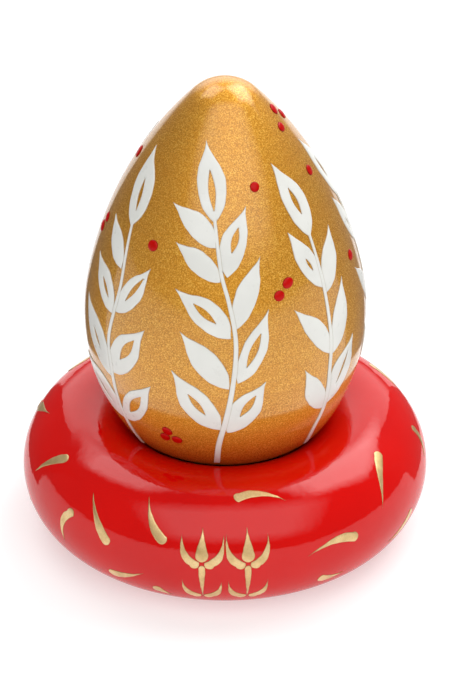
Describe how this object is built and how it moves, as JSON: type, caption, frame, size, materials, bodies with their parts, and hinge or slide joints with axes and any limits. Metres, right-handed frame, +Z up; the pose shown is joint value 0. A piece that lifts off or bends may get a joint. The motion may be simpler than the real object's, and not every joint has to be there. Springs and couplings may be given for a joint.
{
  "type": "decorated egg on ring stand",
  "caption": "Turned wooden egg in metallic gold with raised white leaf sprigs and red berries, seated in a glossy red ring stand painted with gold brush strokes.",
  "frame": {"origin": "on the surface the ring stands on, at the common axis of ring and egg", "axes": "+Z up along the egg's axis; -Y towards the front ornament; +X to its right"},
  "size_m": [0.1024, 0.1024, 0.1235],
  "materials": {
    "gold_lacquer": "metallic gold paint under clear gloss lacquer",
    "red_lacquer": "deep gloss red lacquer",
    "white_enamel": "raised gloss enamel",
    "red_enamel": "raised gloss enamel",
    "gold_paint": "satin metallic gold paint"
  },
  "bodies": {
    "stand": {"ring_stand": "red_lacquer", "gold_strokes": "gold_paint", "gold_ornament": "gold_paint"},
    "egg": {"egg_body": "gold_lacquer", "white_sprig_front": "white_enamel", "white_sprig_right": "white_enamel", "white_sprig_far_right": "white_enamel", "white_sprig_back": "white_enamel", "white_sprig_far_left": "white_enamel", "white_sprig_left": "white_enamel", "red_berries": "red_enamel"}
  },
  "joints": [
    {"name": "egg_lift", "type": "slide", "parent": "stand", "child": "egg", "axis": [0, 0, 1], "range_m": [0, 0.06]}
  ]
}
